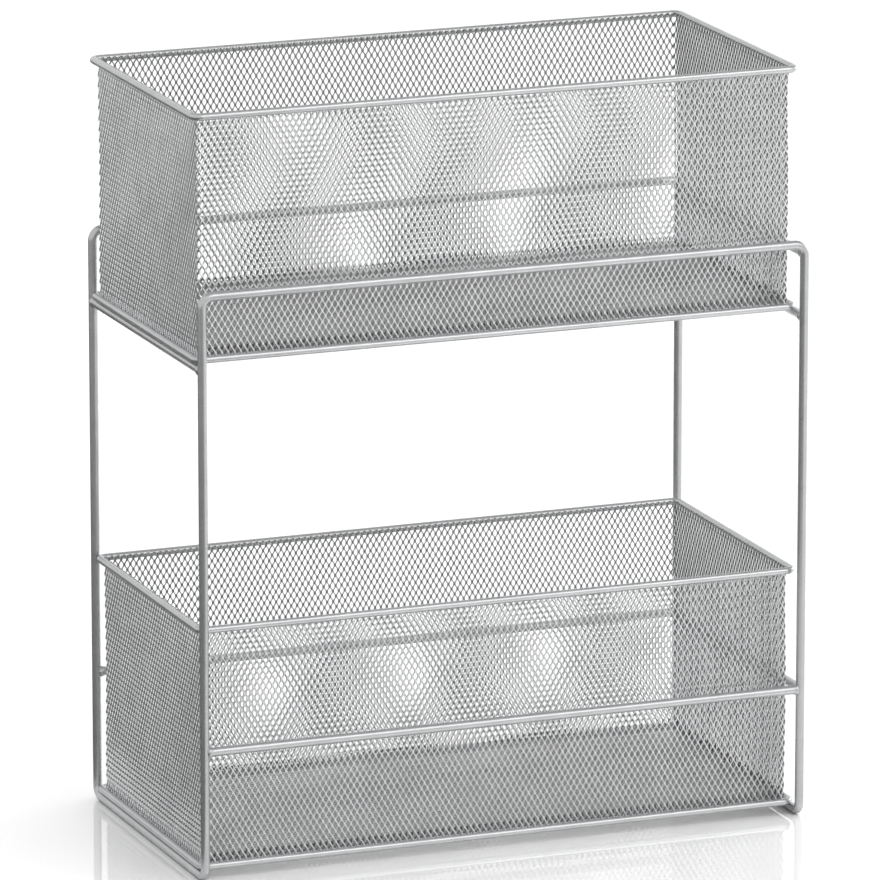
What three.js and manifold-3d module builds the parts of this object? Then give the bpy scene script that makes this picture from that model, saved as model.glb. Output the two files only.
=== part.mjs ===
// Two-tier desk organizer: a bent-wire stand that carries two pull-out drawers of expanded metal.
// Millimetres, +Z up. +X runs along the long side, +Y to the rear, and the drawers pull out towards -X.
// The origin lies on the desk, under the middle of the wire stand.
import * as THREE from 'three';
import { mergeGeometries, mergeVertices } from 'three/addons/utils/BufferGeometryUtils.js';
import Module from 'manifold-3d';

const wasm = await Module();
wasm.setup();

// Wire stand
const postSpanX = 350; // between post centres along the long side
const postSpanY = 176; // between post centres, front to rear
const frameWire = 5; // diameter of the stand's wire
const frameBend = 6; // bend radius of the stand, on the wire's centre line
const shelfHeight = 284.5; // desk to the centre of the rails under the upper drawer
const topRailRise = 40.5; // rails under the upper drawer to the top rails round it, centre to centre
const guardHeight = 73; // desk to the centre of the rails round the lower drawer
const stopDrop = 5; // top rails to the rail behind the upper drawer, centre to centre
const weldSpread = 0.8; // how far a weld bead stands out round its rail
const weldLength = 2.6; // length of a bead along its rail
const weldLap = 1.2; // how far a bead laps round the side of its post
const weldGap = 0.3; // running gap between a coped rail end and the post

// Drawers
const drawerHeight = 136.5; // outside, over both rims
const rimWire = 4; // diameter of the rim wires
const rimCorner = 4.5; // bend radius of the rims, on the wire's centre line
const sideClearance = 1; // between a drawer's rims and the posts, on each side
const seatInset = 1; // end wires of the rims lie this far inside the rails' centre lines
const seatGap = 0.3; // between a drawer's rim and the rails that it rests on
const upperPull = 2.6; // how far the upper drawer stands out at rest
const lowerPull = 1.4; // how far the lower drawer stands out at rest

// Expanded-metal sheets
const sheetThickness = 1; // over the twisted strands
const sheetGap = 0.4; // between a sheet and the rim wire that it is fixed to
const foldGap = 0.3; // between the floor sheet and the walls
const sheetReach = 0.6; // walls reach this far past the rims' centre lines
const floorRise = 0.5; // underside of the floor above the bottom rim's centre line
const selvedge = 2.4; // solid strip left along each sheet's edge
const strand = 2.8; // strand width
const diamondShort = 34; // short way of a diamond, across the sheet
const diamondLong = 62; // long way of a diamond, upright on the walls and front to rear on the floor

const wireSides = 12;
const bendSteps = 5;

const coatedWire = new THREE.MeshStandardMaterial({ color: 0xb4b7ba, roughness: 0.36, metalness: 0.8 });
const rimCoat = new THREE.MeshStandardMaterial({ color: 0xbcbec0, roughness: 0.36, metalness: 0.8 });
const meshCoat = new THREE.MeshStandardMaterial({ color: 0xaeb1b3, roughness: 0.45, metalness: 0.75 });

// Centre line of a wire bent square at each corner of a closed run, as points with their directions.
function bentRing(corners, bend) {
  const line = [];
  corners.forEach((corner, i) => {
    const before = corners[(i + corners.length - 1) % corners.length];
    const after = corners[(i + 1) % corners.length];
    const into = corner.clone().sub(before).normalize();
    const out = after.clone().sub(corner).normalize();
    const centre = corner.clone().addScaledVector(into, -bend).addScaledVector(out, bend);
    for (let k = 0; k <= bendSteps; k += 1) {
      const turn = (k / bendSteps) * (Math.PI / 2);
      const along = into.clone().multiplyScalar(Math.cos(turn)).addScaledVector(out, Math.sin(turn));
      const point = centre.clone();
      point.addScaledVector(out, -bend * Math.cos(turn)).addScaledVector(into, bend * Math.sin(turn));
      line.push({ point, along });
    }
  });
  return line;
}

// Round wire along a closed centre line. Its flats lie on the true diameter and face along the axes.
function closedWire(line, diameter) {
  const radius = diameter / 2 / Math.cos(Math.PI / wireSides);
  const positions = [];
  const index = [];
  const first = line[0].along;
  const side = Math.abs(first.x) < 0.9 ? new THREE.Vector3(1, 0, 0) : new THREE.Vector3(0, 1, 0);
  let across = side.addScaledVector(first, -side.dot(first)).normalize();
  line.forEach(({ point, along }, k) => {
    if (k > 0) {
      const roll = new THREE.Quaternion().setFromUnitVectors(line[k - 1].along, along);
      across = across.clone().applyQuaternion(roll);
    }
    const other = along.clone().cross(across);
    for (let s = 0; s < wireSides; s += 1) {
      const angle = ((s + 0.5) / wireSides) * 2 * Math.PI;
      const p = point.clone();
      p.addScaledVector(across, radius * Math.cos(angle)).addScaledVector(other, radius * Math.sin(angle));
      positions.push(p.x, p.y, p.z);
    }
  });
  for (let k = 0; k < line.length; k += 1) {
    const here = k * wireSides;
    const next = ((k + 1) % line.length) * wireSides;
    for (let s = 0; s < wireSides; s += 1) {
      const t = (s + 1) % wireSides;
      index.push(here + s, here + t, next + t, here + s, next + t, next + s);
    }
  }
  const wire = new THREE.BufferGeometry();
  wire.setAttribute('position', new THREE.Float32BufferAttribute(positions, 3));
  wire.setIndex(index);
  wire.computeVertexNormals();
  return wire;
}

function toSolid(geometry) {
  const bare = geometry.clone();
  bare.deleteAttribute('normal');
  bare.deleteAttribute('uv');
  const merged = mergeVertices(bare, 1e-4);
  const triVerts = [];
  const index = merged.index.array;
  for (let i = 0; i < index.length; i += 3) {
    const [a, b, c] = [index[i], index[i + 1], index[i + 2]];
    if (a !== b && b !== c && c !== a) triVerts.push(a, b, c);
  }
  return new wasm.Manifold(new wasm.Mesh({
    numProp: 3,
    vertProperties: new Float32Array(merged.attributes.position.array),
    triVerts: new Uint32Array(triVerts),
  }));
}

function toGeometry(solid) {
  const mesh = solid.getMesh();
  const geometry = new THREE.BufferGeometry();
  geometry.setAttribute('position', new THREE.BufferAttribute(new Float32Array(mesh.vertProperties), 3));
  geometry.setIndex(new THREE.BufferAttribute(new Uint32Array(mesh.triVerts), 1));
  geometry.computeVertexNormals();
  return geometry;
}

function piece(name, geometry, material) {
  const mesh = new THREE.Mesh(geometry, material);
  mesh.name = name;
  return mesh;
}

// The stand is one closed wire: up the front left post, along the front top rail, down the front right post,
// along the desk to the rear, and back the same way, so only its two ends touch the desk.
const halfX = postSpanX / 2;
const halfY = postSpanY / 2;
const sillHeight = frameWire / 2;
const topRailHeight = shelfHeight + topRailRise;
const upperStopHeight = topRailHeight - stopDrop;
const standLine = bentRing([
  new THREE.Vector3(-halfX, -halfY, sillHeight),
  new THREE.Vector3(-halfX, -halfY, topRailHeight),
  new THREE.Vector3(halfX, -halfY, topRailHeight),
  new THREE.Vector3(halfX, -halfY, sillHeight),
  new THREE.Vector3(halfX, halfY, sillHeight),
  new THREE.Vector3(halfX, halfY, topRailHeight),
  new THREE.Vector3(-halfX, halfY, topRailHeight),
  new THREE.Vector3(-halfX, halfY, sillHeight),
], frameBend);
const weldRoom = toSolid(closedWire(standLine, frameWire + 2 * weldGap));

// A straight rail between two posts, flared at both ends into its weld beads and grown all over by a margin.
function railBlank(span, alongX, place, grow) {
  const reach = span / 2 - frameWire / 2 + weldLap + grow;
  const round = 1 / Math.cos(Math.PI / wireSides);
  const bead = [[0, 1], [weldLap, 0.8], [weldLap + weldLength * 0.4, 0.28], [weldLap + weldLength, 0]];
  const side = bead.map(([run, share]) => [(frameWire / 2 + weldSpread * share + grow) * round, reach - run]);
  const profile = [new THREE.Vector2(0, -reach)];
  side.forEach(([radius, along]) => profile.push(new THREE.Vector2(radius, -along)));
  side.reverse().forEach(([radius, along]) => profile.push(new THREE.Vector2(radius, along)));
  profile.push(new THREE.Vector2(0, reach));
  const turned = new THREE.LatheGeometry(profile, wireSides, Math.PI / wireSides);
  if (alongX) turned.rotateZ(-Math.PI / 2);
  return toSolid(turned.translate(...place));
}

// The rail's ends are coped round the posts, and round the beads of rails that meet the same posts.
function rail(name, span, alongX, place, neighbours = []) {
  const coped = railBlank(span, alongX, place, 0).subtract(weldRoom);
  const clear = neighbours.reduce((solid, neighbour) => solid.subtract(neighbour), coped);
  return piece(name, toGeometry(clear), coatedWire);
}

// Expanded-metal sheet in the XY plane. Its diamonds stand the long way along Y and are halved at the edges.
function netSheet(width, height) {
  const openX = width - 2 * selvedge;
  const openY = height - 2 * selvedge;
  const columns = Math.max(1, Math.round(openX / diamondShort));
  const rows = Math.max(1, Math.round(openY / diamondLong));
  const a = openX / columns / 2;
  const b = openY / rows / 2;
  const keep = 1 - (strand / 2) * Math.hypot(a, b) / (a * b);
  const punch = { depth: 2 * sheetThickness, bevelEnabled: false };
  const diamonds = [];
  for (let i = 0; i <= 2 * columns; i += 1) {
    for (let j = (i + 1) % 2; j <= 2 * rows; j += 2) {
      const left = i > 0 ? a * keep : 0;
      const right = i < 2 * columns ? a * keep : 0;
      const down = j > 0 ? b * keep : 0;
      const up = j < 2 * rows ? b * keep : 0;
      const tips = [[-left, 0], [0, -down], [right, 0], [0, up]].filter(([x, y]) => x !== 0 || y !== 0);
      const outline = new THREE.Shape(tips.map(([x, y]) => new THREE.Vector2(x, y)));
      const diamond = new THREE.ExtrudeGeometry(outline, punch);
      diamonds.push(diamond.translate(i * a - openX / 2, j * b - openY / 2, -sheetThickness));
    }
  }
  const plate = toSolid(new THREE.BoxGeometry(width, height, sheetThickness));
  return toGeometry(plate.subtract(toSolid(mergeGeometries(diamonds))));
}

// A drawer about the middle of its bottom rim. Its walls run between the rims' bends, just inside both wires.
const rimX = postSpanX - 2 * seatInset;
const rimY = postSpanY - frameWire - 2 * sideClearance - rimWire;
const rimRise = drawerHeight - rimWire;
const sheetInset = rimWire / 2 + sheetGap + sheetThickness / 2;

function rim(name, z) {
  const ring = bentRing([
    new THREE.Vector3(-rimX / 2, -rimY / 2, z),
    new THREE.Vector3(rimX / 2, -rimY / 2, z),
    new THREE.Vector3(rimX / 2, rimY / 2, z),
    new THREE.Vector3(-rimX / 2, rimY / 2, z),
  ], rimCorner);
  return piece(name, closedWire(ring, rimWire), rimCoat);
}

function drawer(tier, pull, rimHeight) {
  const body = new THREE.Group();
  const wallRise = rimRise + 2 * sheetReach;
  const wallX = rimX - 2 * rimCorner;
  const wallY = rimY - 2 * rimCorner;
  const inside = 2 * (sheetInset + sheetThickness / 2 + foldGap);
  body.add(rim(`${tier}_top_rim`, rimRise), rim(`${tier}_bottom_rim`, 0));
  for (const [name, side] of [['front', -1], ['rear', 1]]) {
    const wall = piece(`${tier}_${name}_mesh`, netSheet(wallX, wallRise).rotateX(Math.PI / 2), meshCoat);
    wall.position.set(0, side * (rimY / 2 - sheetInset), rimRise / 2);
    body.add(wall);
  }
  for (const [name, side] of [['left', -1], ['right', 1]]) {
    const upright = netSheet(wallY, wallRise).rotateX(Math.PI / 2).rotateZ(Math.PI / 2);
    const wall = piece(`${tier}_${name}_mesh`, upright, meshCoat);
    wall.position.set(side * (rimX / 2 - sheetInset), 0, rimRise / 2);
    body.add(wall);
  }
  const floor = piece(`${tier}_floor_mesh`, netSheet(rimX - inside, rimY - inside), meshCoat);
  floor.position.z = floorRise + sheetThickness / 2;
  body.add(floor);
  body.position.set(-pull, 0, rimHeight);
  return body;
}

const seatRise = frameWire / 2 + seatGap + rimWire / 2;
const guards = [-halfY, halfY].map((y) => [0, y, guardHeight]);
const guardRoom = guards.map((place) => railBlank(postSpanX, true, place, weldGap));
const organizer = new THREE.Group();
organizer.add(
  piece('frame_loop', closedWire(standLine, frameWire), coatedWire),
  rail('upper_left_cross_rail', postSpanY, false, [-halfX, 0, shelfHeight]),
  rail('upper_right_cross_rail', postSpanY, false, [halfX, 0, shelfHeight]),
  rail('upper_right_stop_rail', postSpanY, false, [halfX, 0, upperStopHeight]),
  rail('lower_front_rail', postSpanX, true, guards[0]),
  rail('lower_rear_rail', postSpanX, true, guards[1]),
  rail('lower_right_stop_rail', postSpanY, false, [halfX, 0, guardHeight], guardRoom),
  drawer('upper', upperPull, shelfHeight + seatRise),
  drawer('lower', lowerPull, sillHeight + seatRise),
);

export default organizer;
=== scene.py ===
import math

import bmesh
import bpy
import numpy as np
from mathutils import Matrix, Vector, noise


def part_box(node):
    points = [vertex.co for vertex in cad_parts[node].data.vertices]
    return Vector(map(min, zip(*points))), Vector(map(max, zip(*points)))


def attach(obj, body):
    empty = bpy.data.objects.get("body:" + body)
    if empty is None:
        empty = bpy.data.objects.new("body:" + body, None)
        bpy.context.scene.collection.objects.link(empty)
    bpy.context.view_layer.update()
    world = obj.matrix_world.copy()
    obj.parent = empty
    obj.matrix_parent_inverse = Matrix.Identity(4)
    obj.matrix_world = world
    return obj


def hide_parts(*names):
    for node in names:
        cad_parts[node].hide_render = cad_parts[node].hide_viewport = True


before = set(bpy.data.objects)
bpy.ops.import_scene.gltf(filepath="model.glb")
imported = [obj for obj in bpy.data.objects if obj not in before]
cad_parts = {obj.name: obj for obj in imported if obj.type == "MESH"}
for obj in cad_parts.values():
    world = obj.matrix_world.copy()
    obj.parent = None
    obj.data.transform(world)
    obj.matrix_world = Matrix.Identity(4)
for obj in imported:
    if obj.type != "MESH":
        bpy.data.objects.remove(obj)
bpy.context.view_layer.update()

MM = 0.001

# Wire
STAND_WIRE = 2.5 * MM  # radius
STAND_BEND = 6 * MM  # bend radius on the wire's centre line
RIM_WIRE = 2 * MM
RIM_BEND = 4.5 * MM
WIRE_SIDES = 24
BEND_STEPS = 10
WIRE_SEAM = 0.02 * MM  # points of a wire that lie nearer than this are one point

# A weld bead's profile in millimetres: distance from the post's centre line, and radius over the rail
BEAD = [(0.6, 1.9), (1.3, 2.65), (2.1, 3.05), (2.8, 3.1), (3.5, 2.86), (4.3, 2.63), (5.4, 2.5)]
BEAD_LUMPS = 0.16 * MM  # height of its lumps
BEAD_GRAIN = 1.7 * MM  # their size
BEAD_FADE = 0.5 * MM  # its last stretch, which has none

# Expanded metal
STRAND_WIDTH = 0.7 * MM
STRAND_THICK = 0.56 * MM
BOND_LENGTH = 1.25 * MM
STRAND_LEAN = math.radians(20)
DIAMOND_SHORT = 3.6 * MM
DIAMOND_LONG = 6.1 * MM
SPARE = 1  # diamonds to cut away along each edge of a sheet
STRAND_SEAM = 0.01 * MM  # points of a sheet that lie nearer than this are one point
SHEAR_NEAR = 0.001 * MM  # points nearer than this to a cut are on it
WALL_INSET = 2.6 * MM  # middle of a wall inside its rim's centre line
WALL_FOLD = 2.6 * MM  # radius of the upright folds
WALL_TOP = 1.1 * MM  # a wall's cut edge above the top rim's centre line
WALL_FOOT = -0.6 * MM  # its lower edge, from the bottom rim's centre line
FLARE_HEIGHT = 5 * MM  # the walls spread towards the bottom rim over this height
FLARE = 0.55 * MM
FLOOR_RISE = 1.1 * MM  # middle of the floor above the bottom rim's centre line
FLOOR_GAP = 0.9 * MM  # floor's turned-up edge from the middle of the walls
FLOOR_EDGE = 4.6 * MM  # height of the edge that is turned up along the walls
FLOOR_FOLD = 1.2 * MM
SWAY = 0.22 * MM  # unevenness of the formed sheets
RIM_HOLD = 12 * MM  # distance from a rim over which that unevenness grows to its full size
# How a sheet lies askew before it is cut: shifts across and up, shares that it is stretched by
# across and up, and shares that it leans and climbs by
SQUARE = {"across": 0, "up": 0, "wider": 0, "taller": 0, "lean": 0, "climb": 0}
REAR_ASKEW = {
    "upper": {"across": 0.1 * MM, "up": -2.5 * MM, "wider": -0.004, "taller": 0.009,
              "lean": 0, "climb": -0.005},
    "lower": {"across": 0.2 * MM, "up": -1.2 * MM, "wider": -0.008, "taller": -0.011,
              "lean": 0.018, "climb": 0},
}

# Silver coat
PEEL = 0.12  # strength of the orange peel
PEEL_DEPTH = 0.05 * MM
FLECK_SHARE = 0.25  # share of the flecks in the coat's tone, beside the clouds
TONE_RANGE = (0.32, 0.68)  # pattern values of the darkest and the lightest tone
SHEEN_RANGE = (0.3, 0.7)  # pattern values of the least and the greatest roughness
SHEEN = (0.27, 0.34)  # those roughnesses
INNER_TILT = 0.6  # an inner face looks inwards by more than this share of its normal; such faces get the painted shade
INNER_SHADE_TONE = 0.4  # painted shade: the drawers' inner faces are darkened to this share of the coat's tone, standing in for the shade inside the drawers
FLOOR_FLAT_SHADE = 0.75  # share of the painted shade that the floors' flat inner faces keep; their turned-up edges get all of it

# Sockets of a Mix node, by number because their names repeat
MIX_SHARE = 0
FLOAT_A, FLOAT_B, FLOAT_OUT = 2, 3, 0
COLOUR_A, COLOUR_B, COLOUR_OUT = 6, 7, 2

# Studio, in metres
WHITE = (1, 1, 1, 1)
DESK_HALF = 14
DESK_TONE = 0.92
DESK_GLOW = 0.03  # lifts the desk to white for the camera
FLOOR_CARD = 0.003  # height of the cards on the desk
ROOF_CARD = 2.2
ROOF_CARD_LOW = 1.45  # where the roof card comes down behind the stand
SOFTBOX_AIM = (0, 0, 0.22)
BRIGHT_WAY = Vector((0.45, 0.05, 0.9)).normalized()  # towards the brightest part of the studio
FILL_FROM = (0.1, 0.2)  # height along that way, and the light there
FILL_TO = (1, 2.0)

# Camera, fitted to the wires in the photograph: film and lens in millimetres, its place in metres
FILM_WIDTH = 36
FOCAL_LENGTH = 371.67
CAMERA_PLACE = (-1.7770, -4.5176, 1.4242)
CAMERA_RIGHT = Vector((0.93089, -0.36529, 0))
CAMERA_UP = Vector((0.08861, 0.22582, 0.97013))


# Materials

def add_node(tree, kind, **settings):
    node = tree.nodes.new(kind)
    for name, value in settings.items():
        setattr(node, name, value)
    return node


def satin_silver(name, dark, light, metal, cloud_size, fleck_size):
    """Silver lacquer: pale clouds in the coat, fine metal flecks and a slight orange peel, with
    painted shade darkening the faces marked as inner faces.
    """
    material = bpy.data.materials.new(name)
    material.use_nodes = True
    tree = material.node_tree
    coat = tree.nodes["Principled BSDF"]
    coat.inputs["Metallic"].default_value = metal
    place = add_node(tree, "ShaderNodeTexCoord")
    clouds = add_node(tree, "ShaderNodeTexNoise")
    clouds.inputs["Scale"].default_value = 1 / cloud_size
    clouds.inputs["Detail"].default_value = 3
    flecks = add_node(tree, "ShaderNodeTexNoise")
    flecks.inputs["Scale"].default_value = 1 / fleck_size
    flecks.inputs["Detail"].default_value = 2
    tree.links.new(place.outputs["Object"], clouds.inputs["Vector"])
    tree.links.new(place.outputs["Object"], flecks.inputs["Vector"])
    blend = add_node(tree, "ShaderNodeMix", data_type="FLOAT")
    blend.inputs[MIX_SHARE].default_value = FLECK_SHARE
    tree.links.new(clouds.outputs["Fac"], blend.inputs[FLOAT_A])
    tree.links.new(flecks.outputs["Fac"], blend.inputs[FLOAT_B])
    tone = add_node(tree, "ShaderNodeValToRGB")
    for stop, position, colour in zip(tone.color_ramp.elements, TONE_RANGE, (dark, light)):
        stop.position = position
        stop.color = (*colour, 1)
    tree.links.new(blend.outputs[FLOAT_OUT], tone.inputs["Fac"])
    # Painted shade: faces marked in the mesh get a darker tone, standing in for the shade inside the
    # drawers
    shade_mark = add_node(tree, "ShaderNodeAttribute", attribute_name="painted_shade_face")
    shade_darkening = add_node(tree, "ShaderNodeMix", data_type="RGBA", blend_type="MULTIPLY")
    shade_darkening.inputs[COLOUR_B].default_value = (INNER_SHADE_TONE, INNER_SHADE_TONE, INNER_SHADE_TONE, 1)
    tree.links.new(shade_mark.outputs["Fac"], shade_darkening.inputs[MIX_SHARE])
    tree.links.new(tone.outputs["Color"], shade_darkening.inputs[COLOUR_A])
    tree.links.new(shade_darkening.outputs[COLOUR_OUT], coat.inputs["Base Color"])
    sheen = add_node(tree, "ShaderNodeMapRange")
    sheen.inputs["From Min"].default_value, sheen.inputs["From Max"].default_value = SHEEN_RANGE
    sheen.inputs["To Min"].default_value, sheen.inputs["To Max"].default_value = SHEEN
    tree.links.new(flecks.outputs["Fac"], sheen.inputs["Value"])
    tree.links.new(sheen.outputs["Result"], coat.inputs["Roughness"])
    skin = add_node(tree, "ShaderNodeBump")
    skin.inputs["Strength"].default_value = PEEL
    skin.inputs["Distance"].default_value = PEEL_DEPTH
    tree.links.new(flecks.outputs["Fac"], skin.inputs["Height"])
    tree.links.new(skin.outputs["Normal"], coat.inputs["Normal"])
    return material


stand_silver = satin_silver(
    "stand_silver", dark=(0.46, 0.465, 0.47), light=(0.52, 0.525, 0.53), metal=0.85,
    cloud_size=11 * MM, fleck_size=0.8 * MM)
rim_silver = satin_silver(
    "rim_silver", dark=(0.48, 0.485, 0.49), light=(0.54, 0.545, 0.55), metal=0.85,
    cloud_size=11 * MM, fleck_size=0.8 * MM)
mesh_silver = satin_silver(
    "mesh_silver", dark=(0.61, 0.615, 0.62), light=(0.71, 0.715, 0.72), metal=0.96,
    cloud_size=14 * MM, fleck_size=0.5 * MM)


# Wire

def ring_edges(geometry):
    return [e for e in geometry if isinstance(e, bmesh.types.BMEdge)]


def ring_points(edges):
    return list({v for e in edges for v in e.verts})


def draw_wire(bm, ring, way):
    """Draws the open end of a wire straight on and returns its new end."""
    drawn = bmesh.ops.extrude_edge_only(bm, edges=ring)["geom"]
    points = {v for v in drawn if isinstance(v, bmesh.types.BMVert)}
    bmesh.ops.translate(bm, vec=way, verts=list(points))
    return [e for e in ring_edges(drawn) if e.verts[0] in points and e.verts[1] in points]


def bend_wire(bm, ring, centre, axis):
    """Bends the open end of a wire a quarter turn round a former and returns its new end."""
    bent = bmesh.ops.spin(
        bm, geom=ring + ring_points(ring), cent=centre, axis=axis, angle=math.pi / 2, steps=BEND_STEPS)
    return ring_edges(bent["geom_last"])


def close_wire(bm):
    bmesh.ops.remove_doubles(bm, verts=bm.verts[:], dist=WIRE_SEAM)
    bmesh.ops.recalc_face_normals(bm, faces=bm.faces[:])


def bent_ring(corners, bend, radius):
    """A closed wire: its round section drawn along each straight run and bent at each corner."""
    corners = [Vector(c) for c in corners]
    start = (corners[-1] + corners[0]) / 2
    along = (corners[0] - corners[-1]).normalized()
    bm = bmesh.new()
    facing = Matrix.Translation(start) @ along.to_track_quat("Z", "Y").to_matrix().to_4x4()
    bmesh.ops.create_circle(bm, segments=WIRE_SIDES, radius=radius, matrix=facing)
    ring, place = bm.edges[:], start
    for before, corner, after in zip([corners[-1]] + corners, corners, corners[1:] + corners[:1]):
        into = (corner - before).normalized()
        out = (after - corner).normalized()
        ring = draw_wire(bm, ring, corner - into * bend - place)
        ring = bend_wire(bm, ring, corner - into * bend + out * bend, into.cross(out))
        place = corner + out * bend
    draw_wire(bm, ring, start - place)
    close_wire(bm)
    return bm


def welded_rail(start, end):
    """A straight rail between two posts, thickened at its ends into lumpy weld beads."""
    start, end = Vector(start), Vector(end)
    along = (end - start).normalized()
    length = (end - start).length
    lengthwise = Vector(map(abs, along))
    across = Vector((1, 1, 1)) - lengthwise
    stations = [(d * MM, r * MM) for d, r in BEAD]
    bead_end = stations[-1][0] - BEAD_FADE
    stations += [(length - d, r) for d, r in reversed(stations)]
    bm = bmesh.new()
    facing = Matrix.Translation(start + along * stations[0][0])
    facing = facing @ along.to_track_quat("Z", "Y").to_matrix().to_4x4()
    bmesh.ops.create_circle(
        bm, cap_ends=True, segments=WIRE_SIDES, radius=stations[0][1], matrix=facing)
    ring = bm.edges[:]
    for (run, radius), (next_run, next_radius) in zip(stations, stations[1:]):
        ring = draw_wire(bm, ring, along * (next_run - run))
        grow = lengthwise + across * (next_radius / radius)
        middle = start + along * next_run
        bmesh.ops.scale(bm, vec=grow, space=Matrix.Translation(-middle), verts=ring_points(ring))
    bmesh.ops.contextual_create(bm, geom=ring)
    for v in bm.verts:
        run = (v.co - start).dot(along)
        if min(run, length - run) < bead_end:
            middle = start + along * run
            v.co += (v.co - middle).normalized() * noise.noise(v.co / BEAD_GRAIN) * BEAD_LUMPS
    close_wire(bm)
    return bm


# Expanded metal, laid out flat: X across the sheet, Z the long way of the diamonds, -Y its outer face

LEAN = Vector((math.cos(STRAND_LEAN), math.sin(STRAND_LEAN), 0))
FACE = Vector((-math.sin(STRAND_LEAN), math.cos(STRAND_LEAN), 0))


def slit_ribbon(bm, bond, pitch, rise):
    """One ribbon between two slits, over one diamond: bond, strand out, bond, strand back."""
    far_bond = bond + Vector((pitch / 2, 0, rise / 2))
    near = bond + LEAN * STRAND_WIDTH / 2
    far = far_bond - LEAN * STRAND_WIDTH / 2
    up = Vector((0, 0, BOND_LENGTH))
    hop = far - near - up
    foot = near - up / 2
    half_wide, half_thick = LEAN * STRAND_WIDTH / 2, FACE * STRAND_THICK / 2
    cut = [foot + half_wide * i + half_thick * j for i, j in ((-1, -1), (1, -1), (1, 1), (-1, 1))]
    points = [bm.verts.new(p) for p in cut]
    ring = [bm.edges.new((a, b)) for a, b in zip(points, points[1:] + points[:1])]
    back = Vector((-hop.x, -hop.y, hop.z))
    for way, joined in ((up, bond), (hop, None), (up, far_bond), (back, None)):
        known = set(bm.faces)
        ring = draw_wire(bm, ring, way)
        if joined:
            sides = [f for f in bm.faces if f not in known]
            seam = min(sides, key=lambda f: abs((f.calc_center_median() - joined).dot(LEAN)))
            bm.faces.remove(seam)


def flat_sheet(columns, rows, pitch, rise):
    """A flat sheet of expanded metal: one cell of two ribbons, repeated across and along."""
    bm = bmesh.new()
    slit_ribbon(bm, Vector((0, 0, 0)), pitch, rise)
    slit_ribbon(bm, Vector((pitch / 2, 0, rise / 2)), pitch, rise)
    bmesh.ops.recalc_face_normals(bm, faces=bm.faces[:])
    # Faces that look inwards are marked for painted shade in the coat
    shade_mark = bm.faces.layers.float.new("painted_shade_face")
    for face in bm.faces:
        face[shade_mark] = float(face.normal.y > INNER_TILT)
    cell = bpy.data.meshes.new("sheet_cell")
    bm.to_mesh(cell)
    bm.free()
    maker = bpy.data.objects.new("sheet_maker", cell)
    bpy.context.scene.collection.objects.link(maker)
    for count, offset in ((columns, (pitch, 0, 0)), (rows, (0, 0, rise))):
        repeat = maker.modifiers.new("repeat", "ARRAY")
        repeat.count = count
        repeat.use_relative_offset = False
        repeat.use_constant_offset = True
        repeat.constant_offset_displace = offset
    whole = maker.evaluated_get(bpy.context.evaluated_depsgraph_get())
    sheet = bmesh.new()
    sheet.from_mesh(whole.data)
    bpy.data.objects.remove(maker)
    bpy.data.meshes.remove(cell)
    bmesh.ops.remove_doubles(sheet, verts=sheet.verts[:], dist=STRAND_SEAM)
    return sheet


def shear(sheet, axis, edge, way, clear):
    """Cuts a sheet straight across one of its axes and clears what lies past the cut, if asked to."""
    place = Vector((0, 0, 0))
    place[axis] = edge
    normal = Vector((0, 0, 0))
    normal[axis] = way
    bmesh.ops.bisect_plane(
        sheet, geom=sheet.verts[:] + sheet.edges[:] + sheet.faces[:], dist=SHEAR_NEAR,
        plane_co=place, plane_no=normal, clear_outer=clear)


def drop_scraps(sheet):
    """Takes away the loose bits of strand that the shears leave along an edge."""
    sheet.verts.index_update()
    piece_of = [None] * len(sheet.verts)
    sizes = []
    for start in sheet.verts:
        if piece_of[start.index] is not None:
            continue
        piece_of[start.index] = len(sizes)
        waiting = [start]
        size = 0
        while waiting:
            v = waiting.pop()
            size += 1
            for w in (e.other_vert(v) for e in v.link_edges):
                if piece_of[w.index] is None:
                    piece_of[w.index] = len(sizes)
                    waiting.append(w)
        sizes.append(size)
    whole = sizes.index(max(sizes))
    scraps = [v for v in sheet.verts if piece_of[v.index] != whole]
    bmesh.ops.delete(sheet, geom=scraps, context="VERTS")


def close_strands(sheet):
    """Drops the scraps and closes the cut ends of the strands."""
    drop_scraps(sheet)
    bmesh.ops.holes_fill(sheet, edges=[e for e in sheet.edges if e.is_boundary], sides=0)


def cut_sheet(sheet, low, high):
    """Shears the sheet to a rectangle."""
    for axis in (0, 2):
        shear(sheet, axis, low[axis], -1, True)
        shear(sheet, axis, high[axis], 1, True)
    close_strands(sheet)


def notch_corners(sheet, inside):
    """Cuts a square out of each corner of the blank, so that its edges can be turned up."""
    for axis in (0, 2):
        for way in (-1, 1):
            shear(sheet, axis, way * inside[axis], 1, False)
    corners = [f for f in sheet.faces if all(
        abs(f.calc_center_median()[axis]) > inside[axis] for axis in (0, 2))]
    bmesh.ops.delete(sheet, geom=corners, context="FACES")
    close_strands(sheet)


def sway(p):
    """Slight unevenness of a formed sheet, for an array of points in the drawer's own frame:
    waves 55 to 220 mm long, written in radians per millimetre."""
    x, y, z = p[:, 0] / MM, p[:, 1] / MM, p[:, 2] / MM
    out = np.empty_like(p)
    out[:, 0] = np.sin(0.041 * y + 0.060 * z + 0.7) + 0.6 * np.sin(0.083 * x - 0.047 * z + 2.1)
    out[:, 1] = np.sin(0.037 * x + 0.052 * z + 1.9) + 0.6 * np.sin(0.071 * x - 0.090 * z + 0.4)
    out[:, 2] = 0.7 * np.sin(0.029 * x + 0.033 * y + 2.6) + 0.4 * np.sin(0.058 * x - 0.06 * y)
    return out * SWAY


def sheet_points(sheet):
    return np.array([v.co for v in sheet.verts], float)


def set_points(sheet, points):
    for v, p in zip(sheet.verts, points):
        v.co = p


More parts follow.
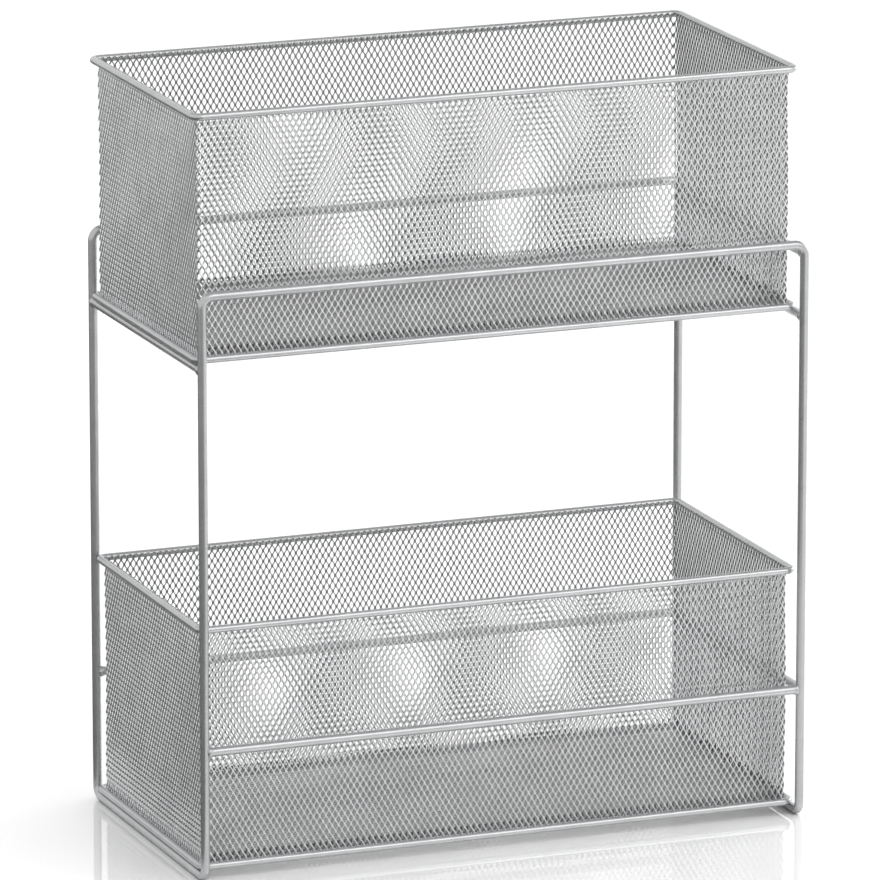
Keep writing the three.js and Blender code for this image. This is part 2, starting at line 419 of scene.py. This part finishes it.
def lay_askew(sheet, askew):
    """Shifts, stretches and shears a flat sheet slightly in its own plane before it is cut."""
    bmesh.ops.transform(sheet, verts=sheet.verts[:], matrix=Matrix((
        (1 + askew["wider"], 0, askew["lean"], askew["across"]),
        (0, 1, 0, 0),
        (askew["climb"], 0, 1 + askew["taller"], askew["up"]),
        (0, 0, 0, 1))))


def folded_wall(run, foot, top, askew):
    """A wall as long as run along its middle plane, with half of each upright fold at its ends.
    Its outer face looks to -Y, and the middle of its flat part is at the origin."""
    straight = run / 2 - WALL_FOLD
    stretched = 2 * straight + WALL_FOLD * math.pi / 2
    columns = round(stretched / DIAMOND_SHORT)
    pitch = stretched / columns
    half_rows = round((top - foot) / (DIAMOND_LONG / 2))
    rise = 2 * (top - foot) / half_rows
    rows = half_rows // 2 + 1
    sheet = flat_sheet(columns + 2 * SPARE, rows + 2 * SPARE, pitch, rise)
    move = Vector((-stretched / 2 - SPARE * pitch, 0, top - rise * (rows + SPARE)))
    bmesh.ops.translate(sheet, vec=move, verts=sheet.verts[:])
    lay_askew(sheet, askew)
    cut_sheet(sheet, Vector((-stretched / 2, 0, foot)), Vector((stretched / 2, 0, top)))
    p = sheet_points(sheet)
    past = np.maximum(np.abs(p[:, 0]) - straight, 0)
    turn = past / WALL_FOLD
    out = WALL_FOLD - p[:, 1]
    folded = p.copy()
    folded[:, 0] = np.sign(p[:, 0]) * (np.minimum(np.abs(p[:, 0]), straight) + out * np.sin(turn))
    folded[:, 1] = WALL_FOLD - out * np.cos(turn)
    share = np.clip(1 - (p[:, 2] - foot) / FLARE_HEIGHT, 0, 1)
    spread = FLARE * share * share
    folded[:, 0] += np.sign(p[:, 0]) * np.sin(turn) * spread
    folded[:, 1] -= np.cos(turn) * spread
    set_points(sheet, folded)
    return sheet


def shade_floor(sheet, straight):
    """Paints shade on the turned-up edge by marking all its faces as inner faces, and paints less
    shade on the flat part.
    """
    shade_mark = sheet.faces.layers.float["painted_shade_face"]
    for face in sheet.faces:
        middle = face.calc_center_median()
        if abs(middle.x) > straight.x or abs(middle.z) > straight.z:
            face[shade_mark] = 1
        else:
            face[shade_mark] *= FLOOR_FLAT_SHADE


def floor_sheet(length, depth):
    """A floor with the long way of its diamonds from front to rear, and a turned-up edge all round."""
    straight = Vector((length / 2 - FLOOR_FOLD, 0, depth / 2 - FLOOR_FOLD))
    quarter = FLOOR_FOLD * math.pi / 2
    past = quarter + FLOOR_EDGE - FLOOR_FOLD
    columns = round(length / DIAMOND_SHORT)
    rows = round(depth / DIAMOND_LONG)
    pitch, rise = length / columns, depth / rows
    spare = 2 * (math.ceil(past / pitch) + SPARE)
    sheet = flat_sheet(columns + spare, rows + spare, pitch, rise)
    move = Vector((-pitch * (columns + spare) / 2, 0, -rise * (rows + spare) / 2))
    bmesh.ops.translate(sheet, vec=move, verts=sheet.verts[:])
    blank = straight + Vector((past, 0, past))
    cut_sheet(sheet, -blank, blank)
    notch_corners(sheet, straight)
    shade_floor(sheet, straight)
    p = sheet_points(sheet)
    for axis in (0, 2):
        over = np.maximum(np.abs(p[:, axis]) - straight[axis], 0)
        folded = over > 0
        turn = np.minimum(over / FLOOR_FOLD, math.pi / 2)
        rise_on = np.maximum(over - quarter, 0)
        out = FLOOR_FOLD - p[:, 1] * folded
        side = np.sign(p[:, axis])
        p[folded, axis] = (side * (straight[axis] + out * np.sin(turn)))[folded]
        p[folded, 1] = (FLOOR_FOLD - out * np.cos(turn) + rise_on)[folded]
    set_points(sheet, p)
    laid_flat = Matrix.Rotation(math.pi / 2, 3, "X")
    bmesh.ops.rotate(sheet, cent=(0, 0, 0), matrix=laid_flat, verts=sheet.verts[:])
    return sheet


# Pieces

def make_piece(name, bm, material, body, node, smooth):
    mesh = bpy.data.meshes.new(name)
    bm.to_mesh(mesh)
    bm.free()
    mesh.materials.append(material)
    if smooth:
        mesh.shade_smooth()
    piece = bpy.data.objects.new(name, mesh)
    bpy.context.scene.collection.objects.link(piece)
    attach(piece, body)
    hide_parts(node)


def node_box(node):
    """Middle of a node's box, and half of its length, depth and height."""
    low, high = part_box(node)
    return (low + high) / 2, (high - low) / 2


def stand_wire(name, bm, node):
    make_piece(name, bm, stand_silver, "stand", node, True)


def build_stand():
    """The bent loop, the rails across it and the rails along it."""
    loop_low, loop_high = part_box("frame_loop")
    loop_half = node_box("frame_loop")[1]
    post_x = loop_half.x - STAND_WIRE
    post_y = loop_half.y - STAND_WIRE
    top_z = loop_high.z - STAND_WIRE
    sill_z = loop_low.z + STAND_WIRE
    stand_wire("stand_loop", bent_ring([
        (-post_x, -post_y, sill_z), (-post_x, -post_y, top_z), (post_x, -post_y, top_z),
        (post_x, -post_y, sill_z), (post_x, post_y, sill_z), (post_x, post_y, top_z),
        (-post_x, post_y, top_z), (-post_x, post_y, sill_z)], STAND_BEND, STAND_WIRE), "frame_loop")
    for node in ("upper_left_cross_rail", "upper_right_cross_rail", "upper_right_stop_rail",
                 "lower_right_stop_rail"):
        middle = node_box(node)[0]
        rail = welded_rail((middle.x, -post_y, middle.z), (middle.x, post_y, middle.z))
        stand_wire(node + "_welded", rail, node)
    for node in ("lower_front_rail", "lower_rear_rail"):
        middle = node_box(node)[0]
        rail = welded_rail((-post_x, middle.y, middle.z), (post_x, middle.y, middle.z))
        stand_wire(node + "_welded", rail, node)


def wall_sheets(tier, wall_x, wall_y, foot, top):
    """The four walls of a drawer, each turned to its side."""
    sides = {
        "front": (2 * wall_x, 0, (0, -wall_y, 0)),
        "right": (2 * wall_y, 90, (wall_x, 0, 0)),
        "rear": (2 * wall_x, 180, (0, wall_y, 0)),
        "left": (2 * wall_y, 270, (-wall_x, 0, 0)),
    }
    sheets = {}
    for side, (run, degrees, place) in sides.items():
        sheet = folded_wall(run, foot, top, REAR_ASKEW[tier] if side == "rear" else SQUARE)
        spin = Matrix.Rotation(math.radians(degrees), 3, "Z")
        bmesh.ops.rotate(sheet, cent=(0, 0, 0), matrix=spin, verts=sheet.verts[:])
        bmesh.ops.translate(sheet, vec=place, verts=sheet.verts[:])
        sheets[side] = sheet
    return sheets


def build_drawer(tier):
    """Two rim wires, four walls and a floor."""
    body = tier + "_drawer"
    top_middle, top_half = node_box(tier + "_top_rim")
    foot_middle = node_box(tier + "_bottom_rim")[0]
    rim_x, rim_y = top_half.x - RIM_WIRE, top_half.y - RIM_WIRE
    for level, middle in (("top", top_middle), ("bottom", foot_middle)):
        around = [(middle.x + rim_x * i, middle.y + rim_y * j, middle.z)
                  for i, j in ((-1, -1), (1, -1), (1, 1), (-1, 1))]
        node = f"{tier}_{level}_rim"
        make_piece(node + "_wire", bent_ring(around, RIM_BEND, RIM_WIRE), rim_silver,
                   body, node, True)
    wall_x, wall_y = rim_x - WALL_INSET, rim_y - WALL_INSET
    foot, top = WALL_FOOT, top_middle.z - foot_middle.z + WALL_TOP
    sheets = wall_sheets(tier, wall_x, wall_y, foot, top)
    sheets["floor"] = floor_sheet(2 * wall_x - 2 * FLOOR_GAP, 2 * wall_y - 2 * FLOOR_GAP)
    bmesh.ops.translate(
        sheets["floor"], vec=(0, 0, FLOOR_RISE), verts=sheets["floor"].verts[:])
    for side, sheet in sheets.items():
        p = sheet_points(sheet)
        free = np.clip(np.minimum(p[:, 2] - foot, top - p[:, 2]) / RIM_HOLD, 0, 1)
        set_points(sheet, p + sway(p) * free[:, None])
        bmesh.ops.translate(sheet, vec=foot_middle, verts=sheet.verts[:])
        node = f"{tier}_{side}_mesh"
        make_piece(node + "_expanded", sheet, mesh_silver, body, node, False)


build_stand()
build_drawer("upper")
build_drawer("lower")


# Studio

def card(x_from, x_to, start, end):
    """Corners of a card between two edges along X, each given by its y and z."""
    return [(x_from, *start), (x_to, *start), (x_to, *end), (x_from, *end)]


def stage_cards(name, cards, material):
    bm = bmesh.new()
    for corners in cards:
        bm.faces.new([bm.verts.new(c) for c in corners])
    mesh = bpy.data.meshes.new(name)
    bm.to_mesh(mesh)
    bm.free()
    mesh.materials.append(material)
    plane = bpy.data.objects.new(name, mesh)
    bpy.context.scene.collection.objects.link(plane)
    return plane


def white_desk():
    """A polished white desk top."""
    desk_white = bpy.data.materials.new("desk_white")
    desk_white.use_nodes = True
    tree = desk_white.node_tree
    polish = tree.nodes["Principled BSDF"]
    polish.inputs["Base Color"].default_value = (DESK_TONE, DESK_TONE, DESK_TONE, 1)
    polish.inputs["Roughness"].default_value = 0.035
    polish.inputs["IOR"].default_value = 2.3
    polish.inputs["Specular IOR Level"].default_value = 0.9
    polish.inputs["Emission Color"].default_value = WHITE
    rays = add_node(tree, "ShaderNodeLightPath")
    glow = add_node(tree, "ShaderNodeMath", operation="MULTIPLY")
    glow.inputs[1].default_value = DESK_GLOW
    tree.links.new(rays.outputs["Is Camera Ray"], glow.inputs[0])
    tree.links.new(glow.outputs["Value"], polish.inputs["Emission Strength"])
    stage_cards("desk", [card(-DESK_HALF, DESK_HALF, (-DESK_HALF, 0), (DESK_HALF, 0))], desk_white)


def flag(name, tone, cards):
    """Dark cards that the wires mirror; they are unseen themselves and throw no shadow."""
    cloth = bpy.data.materials.new(name)
    cloth.use_nodes = True
    tree = cloth.node_tree
    weave = tree.nodes["Principled BSDF"]
    weave.inputs["Base Color"].default_value = (tone, tone, tone, 1)
    weave.inputs["Roughness"].default_value = 0.9
    side = add_node(tree, "ShaderNodeNewGeometry")
    clear = add_node(tree, "ShaderNodeBsdfTransparent")
    one_sided = add_node(tree, "ShaderNodeMixShader")
    tree.links.new(side.outputs["Backfacing"], one_sided.inputs["Fac"])
    tree.links.new(weave.outputs["BSDF"], one_sided.inputs[1])
    tree.links.new(clear.outputs["BSDF"], one_sided.inputs[2])
    tree.links.new(one_sided.outputs["Shader"], tree.nodes["Material Output"].inputs["Surface"])
    hung = stage_cards(name, cards, cloth)
    hung.visible_camera = False
    hung.visible_diffuse = False
    hung.visible_shadow = False


def softbox(name, place, wide, tall, watts):
    light = bpy.data.lights.new(name, "AREA")
    light.shape = "RECTANGLE"
    light.size = wide
    light.size_y = tall
    light.energy = watts
    lamp = bpy.data.objects.new(name, light)
    lamp.location = place
    lamp.rotation_euler = (Vector(SOFTBOX_AIM) - Vector(place)).to_track_quat("-Z", "Y").to_euler()
    lamp.visible_camera = False
    bpy.context.scene.collection.objects.link(lamp)


def white_studio():
    """Light from all round, stronger from above and the right; the camera and mirrors see white."""
    world = bpy.data.worlds.new("studio")
    bpy.context.scene.world = world
    world.use_nodes = True
    tree = world.node_tree
    tree.nodes.clear()
    rays = add_node(tree, "ShaderNodeLightPath")
    seen = add_node(tree, "ShaderNodeMath", operation="MAXIMUM")
    seen_or_through = add_node(tree, "ShaderNodeMath", operation="MAXIMUM")
    look = add_node(tree, "ShaderNodeTexCoord")
    height = add_node(tree, "ShaderNodeVectorMath", operation="DOT_PRODUCT")
    height.inputs[1].default_value = BRIGHT_WAY
    level = add_node(tree, "ShaderNodeMapRange")
    level.inputs["From Min"].default_value, level.inputs["To Min"].default_value = FILL_FROM
    level.inputs["From Max"].default_value, level.inputs["To Max"].default_value = FILL_TO
    fill = add_node(tree, "ShaderNodeBackground")
    white = add_node(tree, "ShaderNodeBackground")
    white.inputs["Strength"].default_value = 1
    pick = add_node(tree, "ShaderNodeMixShader")
    sky = add_node(tree, "ShaderNodeOutputWorld")
    for background in (fill, white):
        background.inputs["Color"].default_value = WHITE
    tree.links.new(look.outputs["Generated"], height.inputs[0])
    tree.links.new(height.outputs["Value"], level.inputs["Value"])
    tree.links.new(level.outputs["Result"], fill.inputs["Strength"])
    tree.links.new(rays.outputs["Is Camera Ray"], seen.inputs[0])
    tree.links.new(rays.outputs["Is Glossy Ray"], seen.inputs[1])
    tree.links.new(seen.outputs["Value"], seen_or_through.inputs[0])
    tree.links.new(rays.outputs["Is Transmission Ray"], seen_or_through.inputs[1])
    tree.links.new(seen_or_through.outputs["Value"], pick.inputs["Fac"])
    tree.links.new(fill.outputs["Background"], pick.inputs[1])
    tree.links.new(white.outputs["Background"], pick.inputs[2])
    tree.links.new(pick.outputs["Shader"], sky.inputs["Surface"])


def photo_camera():
    lens = bpy.data.cameras.new("photo_camera")
    lens.sensor_width = FILM_WIDTH
    lens.lens = FOCAL_LENGTH
    camera = bpy.data.objects.new("photo_camera", lens)
    back = CAMERA_RIGHT.cross(CAMERA_UP)
    turned = Matrix((CAMERA_RIGHT, CAMERA_UP, back)).transposed().to_4x4()
    camera.matrix_world = Matrix.Translation(CAMERA_PLACE) @ turned
    bpy.context.scene.collection.objects.link(camera)
    bpy.context.scene.camera = camera


white_desk()
flag("dark_floor", 0.1, [
    card(-2.2, -0.2, (-2.2, FLOOR_CARD), (3.2, FLOOR_CARD)),
    card(-0.2, 0.1, (-2.2, FLOOR_CARD), (-0.45, FLOOR_CARD))])
flag("roof_flag", 0.4, [
    card(-0.8, 2.4, (0.4, ROOF_CARD), (-0.75, ROOF_CARD)),
    card(-0.8, 2.4, (1.6, ROOF_CARD_LOW), (0.4, ROOF_CARD))])
softbox("front_softbox", place=(0.95, -1.85, 1.65), wide=2.0, tall=1.1, watts=12)
softbox("right_softbox", place=(1.7, 0.5, 0.55), wide=1.0, tall=0.7, watts=5)
white_studio()
bpy.context.scene.view_settings.view_transform = "Standard"
photo_camera()
